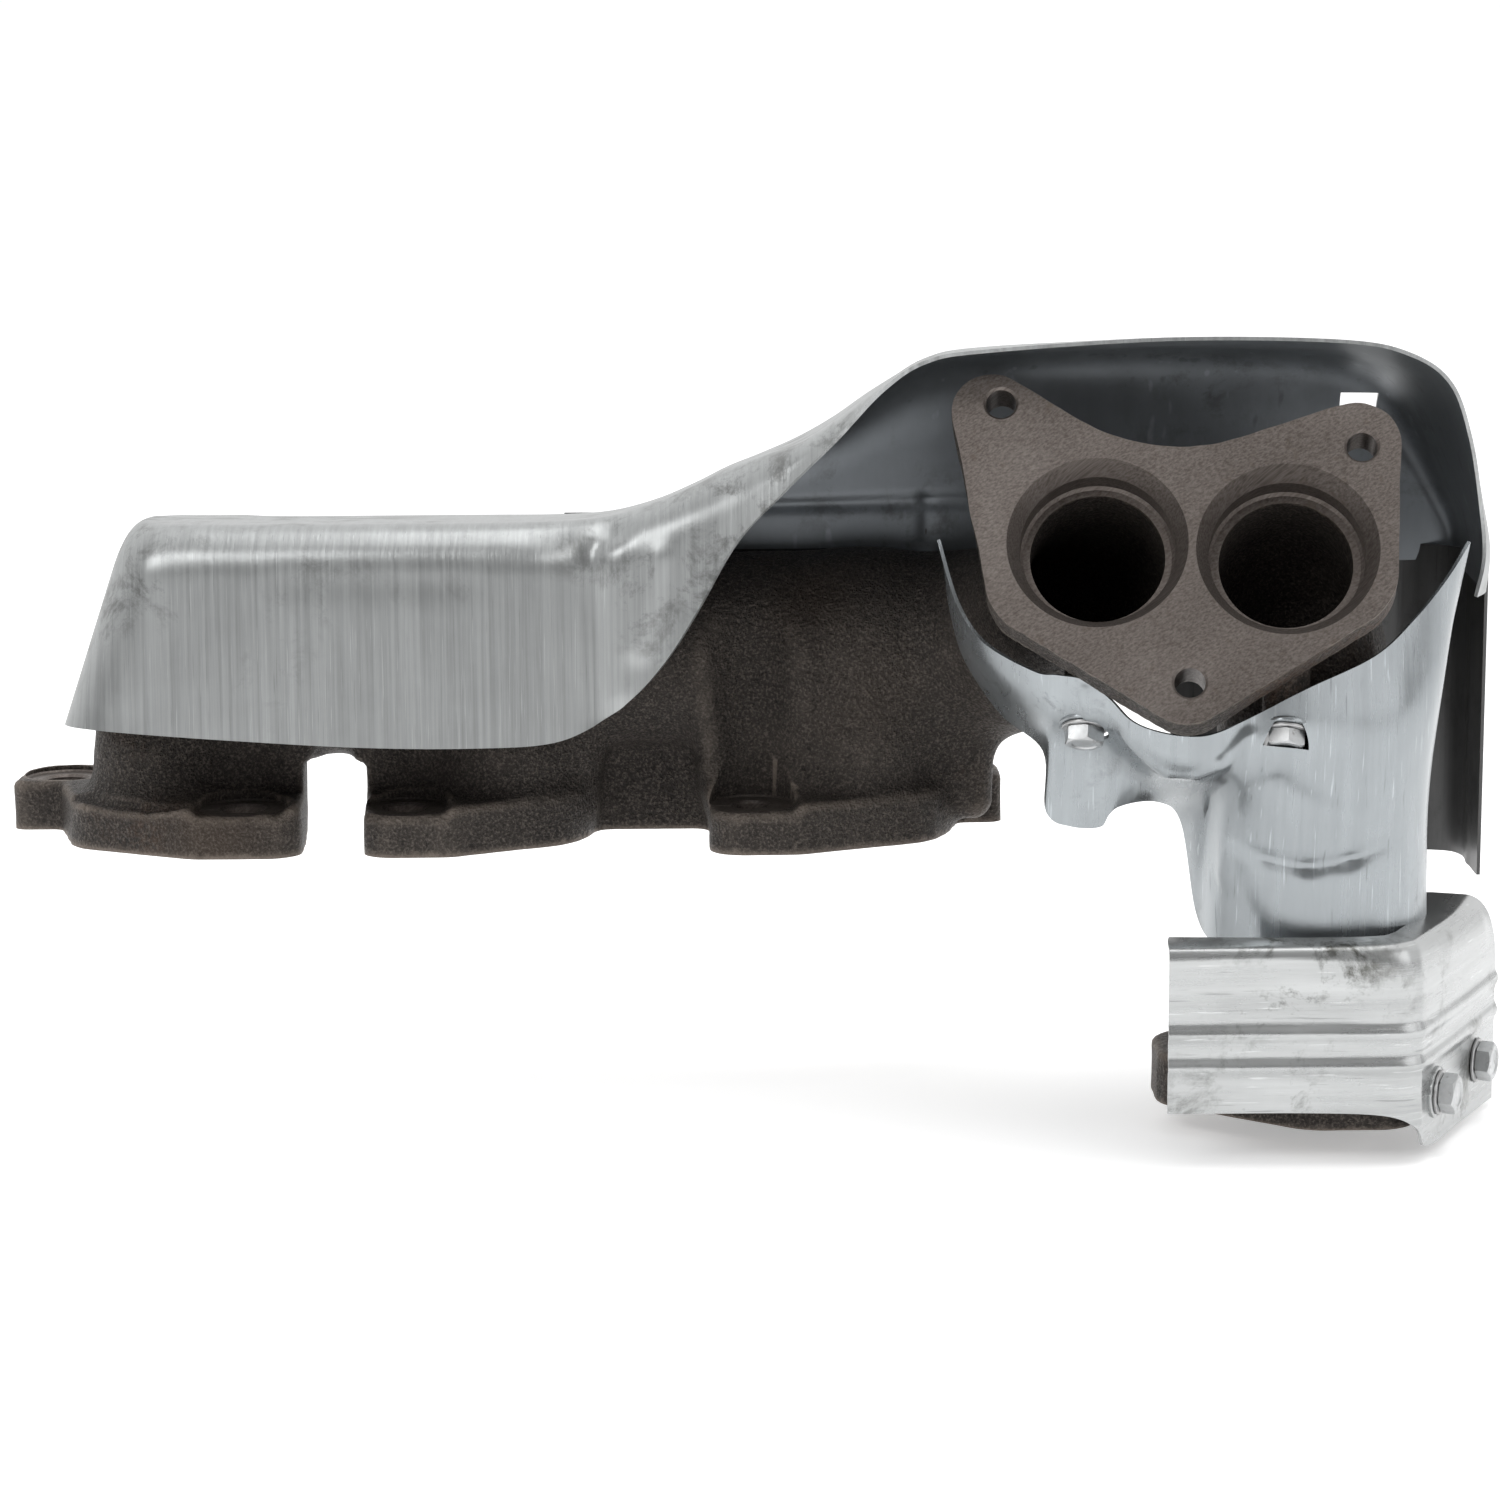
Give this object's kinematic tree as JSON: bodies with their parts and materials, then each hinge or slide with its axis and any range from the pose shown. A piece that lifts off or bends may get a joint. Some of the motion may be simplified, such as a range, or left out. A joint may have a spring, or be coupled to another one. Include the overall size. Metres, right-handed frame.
{
  "type": "exhaust manifold",
  "caption": "Cast exhaust manifold with a ported log, a tilted twin-bore outlet flange and a crossover leg, wrapped in pressed sheet heat shields held by small bolts.",
  "frame": {"origin": "centre of the middle exhaust port on the cylinder head face", "axes": "+X along the row of ports towards the outlet end; +Z away from the cylinder head; +Y away from the side the outlet flange faces"},
  "size_m": [0.447, 0.1613, 0.227],
  "materials": {
    "cast_iron": "sand-cast surface with machined joint faces",
    "shield_sheet": "pressed aluminised sheet, brushed",
    "zinc_steel": "bright zinc plate"
  },
  "bodies": {
    "root": {"manifold_casting": "cast_iron", "upper_heat_shield": "shield_sheet", "rear_heat_shield": "shield_sheet", "outlet_heat_shield": "shield_sheet", "crossover_flange_shield": "shield_sheet", "upper_shield_bolt_left": "zinc_steel", "upper_shield_washer_left": "zinc_steel", "upper_shield_bolt_right": "zinc_steel", "upper_shield_washer_right": "zinc_steel", "rear_shield_bolt_left": "zinc_steel", "rear_shield_washer_left": "zinc_steel", "rear_shield_bolt_right": "zinc_steel", "rear_shield_washer_right": "zinc_steel", "outlet_shield_bolt_left": "zinc_steel", "outlet_shield_washer_left": "zinc_steel", "outlet_shield_bolt_right": "zinc_steel", "outlet_shield_washer_right": "zinc_steel", "flange_shield_bolt_front": "zinc_steel", "flange_shield_washer_front": "zinc_steel", "flange_shield_bolt_rear": "zinc_steel", "flange_shield_washer_rear": "zinc_steel"}
  },
  "joints": []
}
